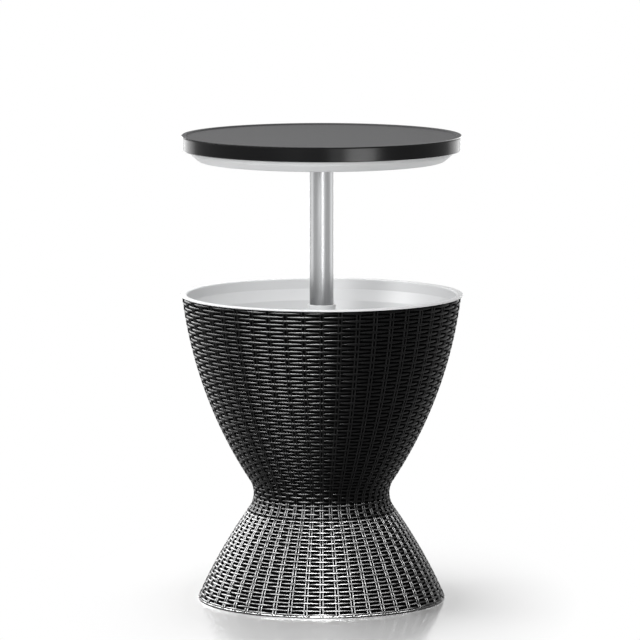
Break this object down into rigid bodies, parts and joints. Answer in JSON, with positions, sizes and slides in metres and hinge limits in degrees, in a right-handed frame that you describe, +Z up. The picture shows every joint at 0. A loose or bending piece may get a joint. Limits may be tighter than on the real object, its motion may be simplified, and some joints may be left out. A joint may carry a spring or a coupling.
{
  "type": "cooler table with lid",
  "caption": "Hourglass patio cooler with a wicker-look shell, white liner, drain and a round tabletop lid on a twist-lock telescopic pole.",
  "frame": {"origin": "centre of the foot ring at floor level, on the pole's axis", "axes": "+Z up along the pole, +X right and +Y back as the picture shows it"},
  "size_m": [0.503, 0.5029, 0.831],
  "materials": {
    "wicker_plastic": "satin",
    "table_plastic": "satin",
    "liner_plastic": "satin",
    "dish_plastic": "satin",
    "white_tube": "satin",
    "silver_tube": "satin",
    "grey_nylon": "satin",
    "black_plastic": "satin",
    "seal_rubber": "matte",
    "screw_steel": "satin",
    "foam": "matte"
  },
  "bodies": {
    "cooler_body": {"base_shell": "wicker_plastic", "bowl_shell": "wicker_plastic", "liner": "liner_plastic", "insulation": "foam", "waist_screws": "screw_steel", "outer_tube": "white_tube", "floor_gasket": "seal_rubber", "nut_washer": "grey_nylon", "tube_nut": "black_plastic", "tube_end_cap": "black_plastic", "guide_bush": "white_tube", "drain_fitting": "grey_nylon", "drain_gasket": "seal_rubber", "drain_nut": "grey_nylon"},
    "expander": {"lock_sleeve": "grey_nylon"},
    "lid": {"tabletop": "table_plastic", "lid_dish": "dish_plastic", "lid_insulation": "foam", "top_hub": "black_plastic", "hub_screws": "screw_steel", "dish_screws": "screw_steel", "inner_tube": "silver_tube", "hub_pin": "screw_steel", "cam_plug": "black_plastic", "plug_pin": "screw_steel", "cam_washer": "screw_steel", "cam_screw": "screw_steel"},
    "drain_plug": {"drain_stopper": "seal_rubber"}
  },
  "joints": [
    {"name": "lid_lift", "type": "slide", "parent": "cooler_body", "child": "expander", "axis": [0, 0, 1], "range_m": [-0.2567, 0]},
    {"name": "lid_twist", "type": "hinge", "parent": "expander", "child": "lid", "pos_m": [0, 0, 0.831], "axis": [0, 0, 1], "range_deg": [0, 90]},
    {"name": "stopper_pull", "type": "slide", "parent": "cooler_body", "child": "drain_plug", "axis": [0, 0, 1], "range_m": [0, 0.06]}
  ]
}
